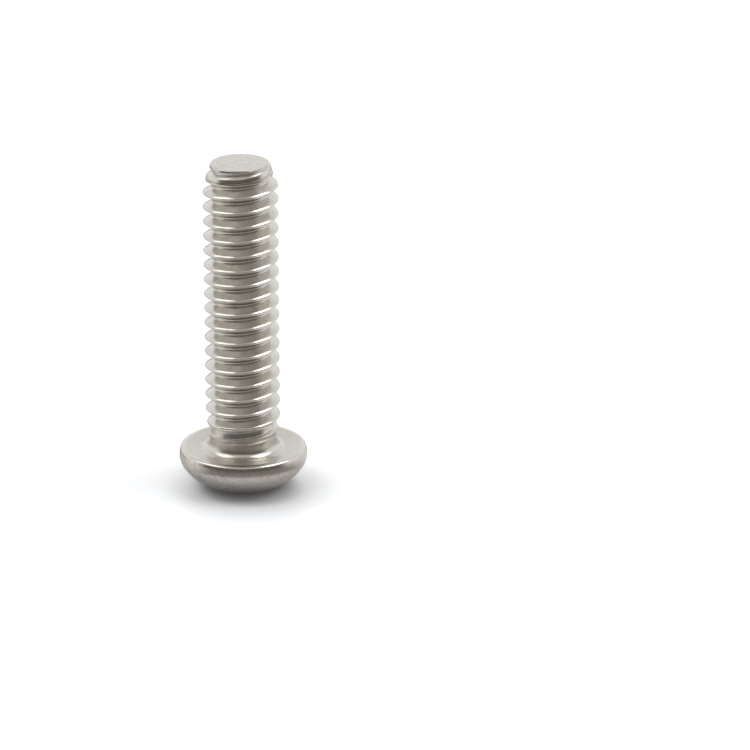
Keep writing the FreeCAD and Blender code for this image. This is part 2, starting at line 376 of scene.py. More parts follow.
    def settle(self, bm: BMesh) -> None:
        """Fade the thread out at the neck and let the blank's taper flatten its crests.

        A flattened crest isn't filled by the rolling: a shallow seam stays along its middle.

        Args:
            bm: The mesh of the softened thread.
        """
        crest_edge = self.pitch / 2 - self.crest_half
        stops = (0.0, self.root_half, crest_edge, self.pitch / 2)
        for vert in bm.verts:
            rise, reach = self.across(vert), radius_of(vert)
            share = (reach - self.root_radius) / (self.crest_radius - self.root_radius)
            middle, height = vert.co.z - rise, vert.co.z
            high = low = reach
            for _ in range(self.settling_rounds):
                high = self.crest_at(height)
                low = min(high, max(self.root_radius, self.core_at(height)))
                root_edge = self.root_half + max(0.0, low - self.root_radius) * self.flank_lean
                high_edge = self.root_half + (high - self.root_radius) * self.flank_lean
                high_edge = max(high_edge, root_edge + self.least_flank)
                placed = blend(abs(rise), stops, (0.0, root_edge, high_edge, self.pitch / 2))
                height = middle + math.copysign(placed, rise)
            level = low + share * (high - low)
            if self.pitch / 2 - abs(rise) < NEAR:
                widening = max(0.0, self.pitch - 2 * high_edge - 2 * self.crest_half)
                level -= min(self.seam_deepest, self.seam_share * widening, (level - low) / 2)
            scale = level / reach
            vert.co = (vert.co.x * scale, vert.co.y * scale, height)

    def trim(self, bm: BMesh) -> None:
        """Cut the helix off at the neck and at the end face, with a rounded edge there.

        Args:
            bm: The mesh of the settled thread.
        """

        def cut(height: float, below: bool = False, above: bool = False) -> None:
            """Cut the mesh level and drop what is asked for.

            Args:
                height: Height of the cut.
                below: Whether what lies below it is dropped.
                above: Whether what lies above it is dropped.
            """
            bmesh.ops.bisect_plane(
                bm,
                geom=bm.verts[:] + bm.edges[:] + bm.faces[:],
                dist=WELD,
                plane_co=(0, 0, height),
                plane_no=AXIS,
                clear_inner=below,
                clear_outer=above,
            )

        cut(self.neck_top, below=True)
        cut(self.end_height, above=True)
        start = self.end_height - self.end_zone * self.end_rounding
        for number in range(self.end_cuts):
            part = math.sin(math.pi / 2 * number / self.end_cuts)
            cut(start + (self.end_height - start) * part)
        for vert in bm.verts:
            if vert.co.z > start:
                reach = radius_of(vert)
                scale = min(1.0, self.end_radius_at(vert.co.z) / reach)
                vert.co = (vert.co.x * scale, vert.co.y * scale, vert.co.z)

    def mesh(self, bm: BMesh) -> None:
        """Build the shank, open at the foot of its fillet.

        Args:
            bm: An empty mesh.
        """
        self.roll(bm)
        self.soften(bm)
        self.settle(bm)
        self.trim(bm)
        loop = border(bm, self.end_height)
        for part in self.end_rings:
            loop = draw_ring(bm, loop, self.end_height, self.taper_radius * part)
        close_loop(bm, loop, self.end_height)
        loop = draw_ring(
            bm, border(bm, self.neck_top), self.neck_foot + self.neck_fillet, self.neck_radius
        )
        for number in range(1, self.fillet_pieces + 1):
            angle = math.pi / 2 * number / self.fillet_pieces
            loop = draw_ring(
                bm,
                loop,
                self.neck_foot + self.neck_fillet * (1 - math.sin(angle)),
                self.neck_radius + self.neck_fillet * (1 - math.cos(angle)),
            )


@dataclass(frozen=True)
class HexSocket:
    """The hexagon socket in the flat of the head, with its countersunk mouth."""

    mouth_radius: float = 2.45
    half_width: float = 1.99
    depth: float = 2.3
    drill_radius: float = 1.8
    cone_slope: float = 1 / math.tan(math.radians(118 / 2))
    cone_rings: tuple[float, ...] = (0.6, 0.2)
    corners: int = 6
    edge_rounding: float = 0.04

    def mesh(self, bm: BMesh, loop: Loop) -> None:
        """Press the socket into the flat, from the loop of its mouth.

        Args:
            bm: The mesh of the head.
            loop: The mouth's circle in the plane of the flat.
        """
        loop = draw_ring(bm, loop, 0, self.half_width, self.corners)
        for vert in {vert for edge in loop for vert in edge.verts}:
            vert.co.z = (self.mouth_radius - radius_of(vert)) * self.cone_slope
        mouth_edges = loop
        geometry = bmesh.ops.extrude_edge_only(bm, edges=loop)["geom"]
        for vert in (item for item in geometry if isinstance(item, BMVert)):
            vert.co.z = self.depth
        loop = [item for item in geometry if isinstance(item, BMEdge)]
        loop = draw_ring(bm, loop, self.depth, self.drill_radius)
        for part in self.cone_rings:
            reach = self.drill_radius * part
            loop = draw_ring(
                bm, loop, self.depth + (self.drill_radius - reach) * self.cone_slope, reach
            )
        close_loop(bm, loop, self.depth + self.drill_radius * self.cone_slope)
        corner_reach = self.half_width / math.cos(math.pi / self.corners)
        uprights = [
            edge
            for edge in bm.edges
            if all(abs(radius_of(vert) - corner_reach) < CLOSE for vert in edge.verts)
            and abs(edge.verts[0].co.z - edge.verts[1].co.z) > self.depth / 2
        ]
        bmesh.ops.bevel(
            bm,
            geom=uprights + mouth_edges,
            offset=self.edge_rounding,
            offset_type="OFFSET",
            affect="EDGES",
            segments=2,
            profile=0.5,
            material=-1,
        )


@dataclass(frozen=True)
class ButtonHead:
    """The head: flat, dome, rounded side and bearing face."""

    radius: float = 5.4
    height: float = 3.35
    rim_height: float = 0.74
    rim_radius: float = 1.6
    dome_radius: float = 4.25
    flat_radius: float = 2.8
    flat_edge_radius: float = 0.3
    ring_width: float = 0.4
    hollow_depth: float = 0.2
    hollow_foot_radius: float = 3.55
    ring_reach: float = 4.9
    bearing_reach: float = 5.35
    bearing_edge_radius: float = 0.3
    hollow_edge_radius: float = 0.6
    steps: int = 192
    hollow_pieces: int = 5
    hollow_edge_pieces: int = 3
    bearing_edge_pieces: int = 9
    side_pieces: int = 20
    dome_pieces: int = 28
    flat_edge_pieces: int = 8
    flat_pieces: int = 2
    socket: HexSocket = field(default_factory=HexSocket)

    def mesh(self, bm: BMesh) -> None:
        """Turn the head and press its socket, open round the neck.

        Args:
            bm: An empty mesh.
        """
        rim = Vector((self.radius - self.rim_radius, 0, self.height - self.rim_height))
        edge = Vector((self.flat_radius, 0, self.flat_edge_radius))
        dome = self.dome_middle(edge, rim)
        to_rim = math.atan2(rim.z - dome.z, rim.x - dome.x)
        to_edge = math.atan2(edge.z - dome.z, edge.x - dome.x)
        drop = self.rim_height - self.bearing_edge_radius
        rise = math.asin(drop / (self.rim_radius - self.bearing_edge_radius))
        corner = Vector((rim.x + drop / math.tan(rise), 0, self.height - self.bearing_edge_radius))
        corner_reach = rim.x + math.sqrt(self.rim_radius**2 - self.rim_height**2)
        ring_inner = corner_reach - self.ring_width

        pen = ProfilePen(bm, self.hollow_foot_radius, self.height - self.hollow_depth)
        pen.line(ring_inner, self.height, self.hollow_pieces)
        pen.line(corner.x, self.height)
        pen.arc(corner, math.pi / 2 - rise, self.bearing_edge_pieces)
        pen.arc(rim, rise - to_rim, self.side_pieces)
        pen.arc(dome, to_rim - to_edge, self.dome_pieces)
        pen.arc(edge, to_edge + math.pi / 2, self.flat_edge_pieces)
        pen.line(self.socket.mouth_radius, 0, self.flat_pieces)
        pen.turn_round(self.steps)
        bmesh.ops.remove_doubles(bm, verts=bm.verts[:], dist=WELD)
        ring_lean = math.atan2(self.hollow_depth, ring_inner - self.hollow_foot_radius)
        self.soften_hollow(bm, ring_inner, ring_lean)
        self.socket.mesh(bm, border(bm, 0))

    def soften_hollow(self, bm: BMesh, radius: float, lean: float) -> None:
        """Round the circle where the bearing face's ring meets its hollow.

        Args:
            bm: The mesh of the head.
            radius: Radius of the circle.
            lean: Angle between the two faces that meet there.
        """
        circle = [
            item
            for item in bm.edges
            if all(
                abs(vert.co.z - self.height) < WELD and abs(radius_of(vert) - radius) < CLOSE
                for vert in item.verts
            )
        ]
        bmesh.ops.bevel(
            bm,
            geom=circle,
            offset=self.hollow_edge_radius * math.tan(lean / 2),
            offset_type="OFFSET",
            affect="EDGES",
            segments=self.hollow_edge_pieces,
            profile=0.5,
            material=-1,
            clamp_overlap=False,
        )

    def dome_middle(self, edge: Vector, rim: Vector) -> Vector:
        """Find the centre of the dome's arc, which holds both small arcs inside it.

        Args:
            edge: Centre of the flat's soft edge.
            rim: Centre of the rounded side.

        Returns:
            The crossing nearer the axis of a circle round each of the two.
        """
        from_edge = self.dome_radius - self.flat_edge_radius
        from_rim = self.dome_radius - self.rim_radius
        apart = (rim - edge).length
        along = (from_edge**2 - from_rim**2 + apart**2) / (2 * apart)
        aside = math.sqrt(from_edge**2 - along**2)
        forward = (rim - edge).normalized()
        return edge + forward * along + Vector((-forward.z, 0, forward.x)) * aside


@dataclass(frozen=True)
class Tint:
    """A colour of the steel, as linear red, green and blue."""

    red: float
    green: float
    blue: float

    def rgba(self) -> tuple[float, float, float, float]:
        """Return the colour with full alpha."""
        return (self.red, self.green, self.blue, 1.0)


class Nodes:
    """Adds nodes to a node tree and links them."""

    def __init__(self, tree: bpy.types.NodeTree) -> None:
        """Work on an emptied node tree."""
        self.tree = tree
        tree.nodes.clear()

    def add(self, kind: str, inputs: dict | None = None, **settings: object) -> bpy.types.Node:
        """Add a node.

        Args:
            kind: Its Blender type.
            inputs: Values or outputs of other nodes, by input name or number.
            **settings: Properties of the node itself.

        Returns:
            The new node.
        """
        node = self.tree.nodes.new(kind)
        for name, value in settings.items():
            setattr(node, name, value)
        for name, value in (inputs or {}).items():
            if isinstance(value, bpy.types.NodeSocket):
                self.tree.links.new(value, node.inputs[name])
            else:
                node.inputs[name].default_value = value
        return node

    def maths(self, operation: str, *values: object) -> bpy.types.NodeSocket:
        """Add a Math node and return its result."""
        node = self.add("ShaderNodeMath", dict(enumerate(values)), operation=operation)
        return node.outputs[0]

    def times(self, first: object, second: object) -> bpy.types.NodeSocket:
        """Multiply two values and return the result."""
        return self.maths("MULTIPLY", first, second)

    def vectors(self, operation: str, first: object, second: object) -> bpy.types.NodeSocket:
        """Add a Vector Math node for two vectors and return the number it gives."""
        node = self.add("ShaderNodeVectorMath", {0: first, 1: second}, operation=operation)
        return node.outputs["Value"]

    def axes(self, vector: bpy.types.NodeSocket) -> bpy.types.bpy_prop_collection:
        """Split a vector and return its three coordinates."""
        return self.add("ShaderNodeSeparateXYZ", {0: vector}).outputs

    def range(
        self, value: object, low: object, high: object, start: float = 0.0, end: float = 1.0
    ) -> bpy.types.NodeSocket:
        """Map a value from one range to another along a smooth step.

        Args:
            value: The output to read.
            low: Where the step starts.
            high: Where it ends.
            start: Result at and below the low end.
            end: Result at and above the high end.

        Returns:
            The output with the result.
        """
        node = self.add(
            "ShaderNodeMapRange",
            {"Value": value, "From Min": low, "From Max": high, "To Min": start, "To Max": end},
            interpolation_type="SMOOTHSTEP",
        )
        return node.outputs[0]

    def noise(
        self, vector: object, scale: object, detail: float = 2.0, rough: float = 0.5
    ) -> bpy.types.NodeSocket:
        """Add a noise texture and return its value output."""
        node = self.add(
            "ShaderNodeTexNoise",
            {"Vector": vector, "Scale": scale, "Detail": detail, "Roughness": rough},
        )
        return node.outputs[0]

    def blend(self, factor: object, first: object, second: object) -> bpy.types.NodeSocket:
        """Mix two values and return the result."""
        node = self.add("ShaderNodeMix", {"Factor": factor, "A": first, "B": second})
        return node.outputs[0]

    def mix(self, factor: object, first: object, second: object) -> bpy.types.NodeSocket:
        """Mix two colours.

        Args:
            factor: Share of the second colour.
            first: The first colour.
            second: The second colour.

        Returns:
            The output with the mixed colour.
        """
        node = self.add("ShaderNodeMix", data_type="RGBA")
        sockets = {"Factor_Float": factor, "A_Color": first, "B_Color": second}
        for item in node.inputs:
            value = sockets.get(item.identifier)
            if isinstance(value, bpy.types.NodeSocket):
                self.tree.links.new(value, item)
            elif value is not None:
                item.default_value = value
        return next(item for item in node.outputs if item.identifier == "Result_Color")


class EffectGroup:
    """A shader node group with named inputs and outputs, built once and placed often."""

    def __init__(self, name: str, inputs: dict[str, object], outputs: dict[str, str]) -> None:
        """Make the group's sockets.

        Args:
            name: Name of the group.
            inputs: Default of each input by name, a number or None for a vector.
            outputs: Socket type of each output by name.
        """
        self.tree = bpy.data.node_groups.new(name, "ShaderNodeTree")
        self.nodes = Nodes(self.tree)
        for label, default in inputs.items():
            kind = "NodeSocketVector" if default is None else "NodeSocketFloat"
            socket = self.tree.interface.new_socket(label, in_out="INPUT", socket_type=kind)
            if default is not None:
                socket.default_value = default
        for label, kind in outputs.items():
            self.tree.interface.new_socket(label, in_out="OUTPUT", socket_type=kind)
        self.given = self.nodes.add("NodeGroupInput").outputs
        self.wanted = self.nodes.add("NodeGroupOutput")

    def put_out(self, label: str, value: bpy.types.NodeSocket) -> None:
        """Link a result to one of the group's outputs."""
        self.tree.links.new(value, self.wanted.inputs[label])

    def place(self, nodes: Nodes, **values: object) -> bpy.types.Node:
        """Place the group in a material.

        Args:
            nodes: The material's nodes.
            **values: Its inputs by name, with _ for a space.

        Returns:
            The group node.
        """
        inputs = {name.replace("_", " "): value for name, value in values.items()}
        return nodes.add("ShaderNodeGroup", inputs, node_tree=self.tree)


FLOAT = "NodeSocketFloat"


class Effects:
    """The surface effects that the finishes share."""

    skin_contrast: Span = (0.38, 0.62)
    grain_contrast: Span = (0.4, 0.65)
    stain_ceiling: float = 0.9
    stain_contrast: float = 4.0
    neck_fade: Span = (-0.2, 1.2)
    neck_share: float = 0.8
    fillet_fade: Span = (0.25, 0.7)
    fillet_share: float = 0.25
    point_inset: float = 0.3
    point_share: float = 0.12

    def __init__(self, shank: ThreadedShank) -> None:
        """Build every group once.

        Args:
            shank: The shank, whose helix the thread's effects follow.
        """
        self.thread_place = self.build_thread_place(shank)
        self.skin = self.build_skin()
        self.grain = self.build_grain()
        self.stain = self.build_stain()
        self.raw_ends = self.build_raw_ends(shank)

    def build_thread_place(self, shank: ThreadedShank) -> EffectGroup:
        """Tell where a point is on the thread.

        Args:
            shank: The shank, whose helix the group follows.

        Returns:
            The group, with a depth of 0 at the crest and 1 in the root.
        """
        group = EffectGroup("thread place", {"Place": None}, {"Depth": FLOAT})
        nodes = group.nodes
        axes = nodes.axes(group.given["Place"])
        angle = nodes.maths("ARCTAN2", axes[1], axes[0])
        turns = nodes.maths("DIVIDE", angle, FULL_TURN)
        raised = nodes.maths("SUBTRACT", axes[2], shank.groove_height * MILLIMETRE)
        height = nodes.maths("DIVIDE", raised, shank.pitch * MILLIMETRE)
        phase = nodes.maths("SUBTRACT", height, turns)
        wave = nodes.maths("FRACT", nodes.maths("ADD", phase, 0.5))
        fold = nodes.maths("ABSOLUTE", nodes.maths("SUBTRACT", wave, 0.5))
        group.put_out("Depth", nodes.maths("SUBTRACT", 1.0, nodes.times(fold, 2.0)))
        return group

    def build_skin(self) -> EffectGroup:
        """Make the shallow dimples of two sizes that barrel finishing leaves.

        Returns:
            The group.
        """
        group = EffectGroup(
            "tumbled skin",
            {"Place": None, "Fine Scale": 7000.0, "Broad Scale": 2200.0, "Broad Share": 0.5},
            {"Height": FLOAT, "Mask": FLOAT},
        )
        nodes, given = group.nodes, group.given
        fine = nodes.noise(given["Place"], given["Fine Scale"], detail=1.5, rough=0.55)
        broad = nodes.noise(given["Place"], given["Broad Scale"])
        mixed = nodes.blend(given["Broad Share"], fine, broad)
        group.put_out("Height", mixed)
        group.put_out("Mask", nodes.range(mixed, *self.skin_contrast))
        return group

    def build_grain(self) -> EffectGroup:
        """Make the fine lines that the rolling dies draw along the thread.

        Returns:
            The group.
        """
        group = EffectGroup(
            "rolled grain",
            {"Place": None, "Depth": 0.0, "Lines": 24.0, "Wander": 260.0},
            {"Height": FLOAT, "Mask": FLOAT},
        )
        nodes, given = group.nodes, group.given
        axes = nodes.axes(given["Place"])
        steps = nodes.times(given["Depth"], given["Lines"])
        wander = {number: nodes.times(axes[number], given["Wander"]) for number in (0, 1)}
        vector = nodes.add("ShaderNodeCombineXYZ", {**wander, 2: steps}).outputs[0]
        lines = nodes.noise(vector, 1.0, rough=0.6)
        group.put_out("Height", lines)
        group.put_out("Mask", nodes.range(lines, *self.grain_contrast))
        return group

    def build_stain(self) -> EffectGroup:
        """Make the soft patches of duller, browner steel that handling leaves.

        Returns:
            The group.
        """
        group = EffectGroup(
            "stain", {"Place": None, "Scale": 900.0, "Cover": 0.5}, {"Mask": FLOAT}
        )
        nodes, given = group.nodes, group.given
        cloud = nodes.noise(given["Place"], given["Scale"], detail=3.0, rough=0.55)
        floor = nodes.maths("SUBTRACT", self.stain_ceiling, given["Cover"])
        raised = nodes.maths("SUBTRACT", cloud, floor)
        group.put_out("Mask", nodes.range(nodes.times(raised, self.stain_contrast), 0.0, 1.0))
        return group

    def build_raw_ends(self, shank: ThreadedShank) -> EffectGroup:
        """Mark the neck, the run-out and the point, which the rolling dies don't burnish.

        Args:
            shank: The shank, whose heights the marks follow.

        Returns:
            The group.
        """
        group = EffectGroup("raw ends", {"Place": None}, {"Mask": FLOAT})
        nodes = group.nodes
        height = nodes.maths("DIVIDE", nodes.axes(group.given["Place"])[2], MILLIMETRE)
        neck_ends = [shank.neck_top + part for part in self.neck_fade]
        neck = nodes.range(height, *neck_ends, self.neck_share, 0.0)
        fillet_ends = [shank.neck_foot + part for part in self.fillet_fade]
        fillet = nodes.range(height, *fillet_ends, self.fillet_share, 1.0)
        point_ends = shank.taper_start + self.point_inset, shank.taper_end - self.point_inset
        point = nodes.range(height, *point_ends, 0.0, self.point_share)
        group.put_out("Mask", nodes.maths("MAXIMUM", nodes.times(neck, fillet), point))
        return group


BRIGHT = Tint(0.66, 0.64, 0.6)
PALE = Tint(0.63, 0.61, 0.565)
DULL = Tint(0.58, 0.555, 0.505)
# BROWN is the colour of real stains, and also of the painted shade in the thread's roots.
BROWN = Tint(0.34, 0.305, 0.25)
WHITE = Tint(1.0, 1.0, 1.0)


@dataclass(frozen=True)
class SteelFinish:
    """A finish of the stainless steel."""

    name: str
    roughness: Span
    skin_depth: float
    stain_cover: float
    stain_share: float
    bright: Tint = BRIGHT
    dull: Tint = PALE
    stained: Tint = BROWN
    grain_depth: float = 0.0
    fine_scale: float = 7000.0
    broad_scale: float = 2200.0
    dull_share: float = 0.5
    follows_thread: bool = False
    # Depths at which the thread's roots take painted shade, mixed toward the stained colour.
    root_depths: Span = (0.7, 0.97)
    root_painted_shade: float = 0.5
    shade_and_wear_share: float = 0.32
    raw_roughness: float = 0.42
    raw_depth: float = 0.012

    def dress(self, effects: Effects) -> bpy.types.Material:
        """Make the material.

        Args:
            effects: The shared groups.

        Returns:
            The finished material.
        """
        material = bpy.data.materials.new(self.name)
        material.use_nodes = True
        nodes = Nodes(material.node_tree)
        place = nodes.add("ShaderNodeTexCoord").outputs["Object"]
        skin = effects.skin.place(
            nodes, Place=place, Fine_Scale=self.fine_scale, Broad_Scale=self.broad_scale
        )
        stain = effects.stain.place(nodes, Place=place, Cover=self.stain_cover)
        thread = effects.thread_place.place(nodes, Place=place)
        grain = effects.grain.place(nodes, Place=place, Depth=thread.outputs["Depth"])

        base = nodes.mix(skin.outputs["Mask"], self.dull.rgba(), self.bright.rgba())
        stained = nodes.times(stain.outputs["Mask"], self.stain_share)
        base = nodes.mix(stained, base, self.stained.rgba())
        hollows = nodes.times(nodes.maths("SUBTRACT", 1.0, skin.outputs["Mask"]), self.dull_share)
        dullness = nodes.maths("MULTIPLY_ADD", stained, self.dull_share, hollows)
        roughness = nodes.range(dullness, 0.0, 1.0, *self.roughness)
        skin_depth = self.skin_depth
        if self.follows_thread:
            # Painted shade in the thread's roots darkens them toward brown. The same mix carries the
            # raw, unburnished wear of the neck, run-out and point.
            root = nodes.range(thread.outputs["Depth"], *self.root_depths)
            raw = effects.raw_ends.place(nodes, Place=place).outputs["Mask"]
            root_shade_and_raw_wear = nodes.maths("MAXIMUM", nodes.times(root, self.root_painted_shade), raw)
            base = nodes.mix(nodes.times(root_shade_and_raw_wear, self.shade_and_wear_share), base, self.stained.rgba())
            roughness = nodes.blend(raw, roughness, self.raw_roughness)
            skin_depth = nodes.blend(raw, self.skin_depth, self.raw_depth)
        heights = nodes.maths(
            "ADD",
            nodes.times(skin.outputs["Height"], skin_depth),
            nodes.times(grain.outputs["Height"], self.grain_depth),
        )
        bump = nodes.add(
            "ShaderNodeBump", {"Height": heights, "Distance": MILLIMETRE, "Strength": 1.0}
        )
        shader = nodes.add(
            "ShaderNodeBsdfPrincipled",
            {"Base Color": base, "Metallic": 1.0, "Roughness": roughness, "Normal": bump.outputs[0]},
        )
        nodes.add("ShaderNodeOutputMaterial", {"Surface": shader.outputs[0]})
        return material


FINISHES = {
    Region.THREAD: SteelFinish(
        "rolled thread", roughness=(0.15, 0.26), skin_depth=0.0012, stain_cover=0.36,
        stain_share=0.35, grain_depth=0.003, follows_thread=True,
    ),
    Region.HEAD: SteelFinish(
        "tumbled head", roughness=(0.2, 0.36), skin_depth=0.02, stain_cover=0.36,
        stain_share=0.5, dull=DULL, fine_scale=6000.0, broad_scale=2600.0,
    ),
    Region.SOCKET: SteelFinish(
        "pressed socket", roughness=(0.22, 0.4), skin_depth=0.006, stain_cover=0.5,
        stain_share=0.8, dull=DULL,
    ),
    Region.POINT: SteelFinish(
        "sheared point", roughness=(0.2, 0.34), skin_depth=0.002, stain_cover=0.3,
        stain_share=0.2, bright=PALE, dull=DULL,
    ),
    Region.BEARING: SteelFinish(
        "bearing face", roughness=(0.34, 0.42), skin_depth=0.002, stain_cover=0.3,
        stain_share=0.15,
    ),
    Region.RIM: SteelFinish(
        "burnished rim", roughness=(0.18, 0.28), skin_depth=0.004, stain_cover=0.3,
        stain_share=0.15,
    ),
}


@dataclass(frozen=True)
class Screw:
    """The whole screw, as one skin."""

    name: str = "screw_skin"
    shank: ThreadedShank = field(default_factory=ThreadedShank)
    head: ButtonHead = field(default_factory=ButtonHead)
    sharp_angle: float = math.radians(35)

    def region_of(self, face: BMFace) -> Region:
        """Tell which finish a face wears.

        Args:
            face: A face of the whole screw, in millimetres.

        Returns:
            The part of the surface that it belongs to.
        """
        middle = face.calc_center_median()
        reach = math.hypot(middle.x, middle.y)
        if middle.z > self.shank.end_height - WELD:
            return Region.POINT
        if middle.z < self.shank.neck_foot or reach > self.head.bearing_reach:
            mouth = reach < self.head.socket.mouth_radius - WELD
            return Region.SOCKET if mouth else Region.HEAD
        if reach > self.head.ring_reach:
            return Region.RIM
        if reach > self.head.hollow_foot_radius + WELD:
            return Region.BEARING
        inside = reach < self.head.socket.drill_radius
        return Region.SOCKET if inside else Region.THREAD

    def mesh(self) -> bpy.types.Mesh:
        """Build shank and head, join them under the neck, and finish the skin.

        Known fault: both loops lie on one circle, so the bridge pairs them mirrored. Hidden
        faces then cross the neck, and the head's faces end up pointing inwards.

        Returns:
            The mesh, in metres.
        """
        bm = bmesh.new()
        self.shank.mesh(bm)
        shank_loop = [edge for edge in bm.edges if edge.is_boundary]
        head = bmesh.new()
        self.head.mesh(head)
        carrier = bpy.data.meshes.new("head")
        head.to_mesh(carrier)
        head.free()
        known = set(bm.edges)
        bm.from_mesh(carrier)
        bpy.data.meshes.remove(carrier)
        head_loop = [edge for edge in bm.edges if edge not in known and edge.is_boundary]
        bmesh.ops.bridge_loops(bm, edges=shank_loop + head_loop)
        bmesh.ops.remove_doubles(bm, verts=bm.verts[:], dist=WELD / 4)
        bmesh.ops.recalc_face_normals(bm, faces=bm.faces[:])
        for face in bm.faces:
            face.smooth = True
            face.material_index = self.region_of(face).value
        for edge in bm.edges:
            edge.smooth = edge.calc_face_angle(0.0) < self.sharp_angle
        faulty = sum(not edge.is_manifold for edge in bm.edges)
        log.info("screw skin: %d faces, %d edges without two faces", len(bm.faces), faulty)
        bmesh.ops.transform(bm, matrix=Matrix.Scale(MILLIMETRE, 4), verts=bm.verts[:])
        mesh = bpy.data.meshes.new(self.name)
        bm.to_mesh(mesh)
        bm.free()
        return mesh

    def build(self) -> bpy.types.Object:
        """Make the screw's piece, hang it on the root body and hide the CAD screw it stands in for.

        Returns:
            The piece.
        """
        piece = bpy.data.objects.new(self.name, self.mesh())
        bpy.context.scene.collection.objects.link(piece)
        effects = Effects(self.shank)
        for region in Region:
            piece.data.materials.append(FINISHES[region].dress(effects))
        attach(piece, "root")
        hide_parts("screw")
        return piece


@dataclass(frozen=True)
class Softbox:
    """A soft studio lamp that faces the screw."""

    name: str
    azimuth: float
    elevation: float
    distance: float
    width: float
    height: float
    radiance: float
    aim: Vector = field(default_factory=lambda: Vector((0.0, 0.0, 0.012)))

    def build(self) -> bpy.types.Object:
        """Hang the lamp, with its power worked out from the brightness of its face.

        Returns:
            The lamp's object.
        """
        lamp = bpy.data.lights.new(self.name, "AREA")
        lamp.shape = "RECTANGLE"
        lamp.size, lamp.size_y = self.width, self.height
        lamp.energy = self.radiance * math.pi * self.width * self.height
        item = bpy.data.objects.new(self.name, lamp)
        bpy.context.scene.collection.objects.link(item)
        turn, lift = math.radians(self.azimuth), math.radians(self.elevation)
        away = Vector(
            (math.sin(turn) * math.cos(lift), -math.cos(turn) * math.cos(lift), math.sin(lift))
        )
        item.location = self.aim + away * self.distance
        item.rotation_euler = away.to_track_quat("Z", "Y").to_euler()
        item.visible_camera = False
        return item


@dataclass(frozen=True)
class Surround:
    """The pale room round the screw: white behind it, grey overhead, dark round the camera."""

    white: float = 1.0
    overhead: float = 0.42
    canopy: float = 0.75
    front: float = 0.13
    shade: float = 0.12
    shade_direction: tuple[float, float, float] = (0.155, 0.187, 0.97)
    shade_nearness: Span = (0.975, 0.9995)
    warm: Tint = Tint(1.0, 0.96, 0.885)
    warm_levels: Span = (0.4, 0.95)
    overhead_rise: Span = (18.0, 78.0)
    canopy_swing: Span = (58.0, 84.0)
    canopy_foot: Span = (42.0, 50.0)
    canopy_top: Span = (54.0, 67.0)
    front_swing: Span = (68.0, 92.0)
    front_top: Span = (34.0, 46.0)

    def build(self) -> None:
        """Dress the world, which the camera sees as plain white."""
        world = bpy.data.worlds.new("surround")
        bpy.context.scene.world = world
        world.use_nodes = True
        nodes = Nodes(world.node_tree)
        direction = nodes.add("ShaderNodeTexCoord").outputs["Generated"]
        axes = nodes.axes(direction)
        rise = nodes.times(nodes.maths("ARCSINE", axes[2]), math.degrees(1))
        away = nodes.times(axes[1], -1.0)
        swing = nodes.maths("ABSOLUTE", nodes.maths("ARCTAN2", axes[0], away))
        swing = nodes.times(swing, math.degrees(1))
        level = nodes.range(rise, *self.overhead_rise, self.white, self.overhead)
        shade = nodes.vectors("DOT_PRODUCT", direction, self.shade_direction)
        shade = nodes.times(nodes.range(shade, *self.shade_nearness), self.shade)
        level = nodes.maths("SUBTRACT", level, shade)
        in_front = nodes.range(swing, *self.canopy_swing, 1.0, 0.0)
        low = nodes.range(swing, *self.front_swing, 1.0, 0.0)
        low = nodes.times(low, nodes.range(rise, *self.front_top, 1.0, 0.0))
        high = nodes.times(
            nodes.range(rise, *self.canopy_foot), nodes.range(rise, *self.canopy_top, 1.0, 0.0)
        )
        high = nodes.times(in_front, high)
        level = nodes.blend(high, level, self.canopy)
        level = nodes.blend(low, level, self.front)
        tint = nodes.mix(nodes.range(level, *self.warm_levels), self.warm.rgba(), WHITE.rgba())
        lit = nodes.add("ShaderNodeBackground", {"Strength": level, "Color": tint})
        seen = nodes.add("ShaderNodeBackground", {"Strength": 1.0, "Color": WHITE.rgba()})
        to_camera = nodes.add("ShaderNodeLightPath").outputs["Is Camera Ray"]
        both = nodes.add("ShaderNodeMixShader", {0: to_camera, 1: lit.outputs[0], 2: seen.outputs[0]})
        nodes.add("ShaderNodeOutputWorld", {"Surface": both.outputs[0]})


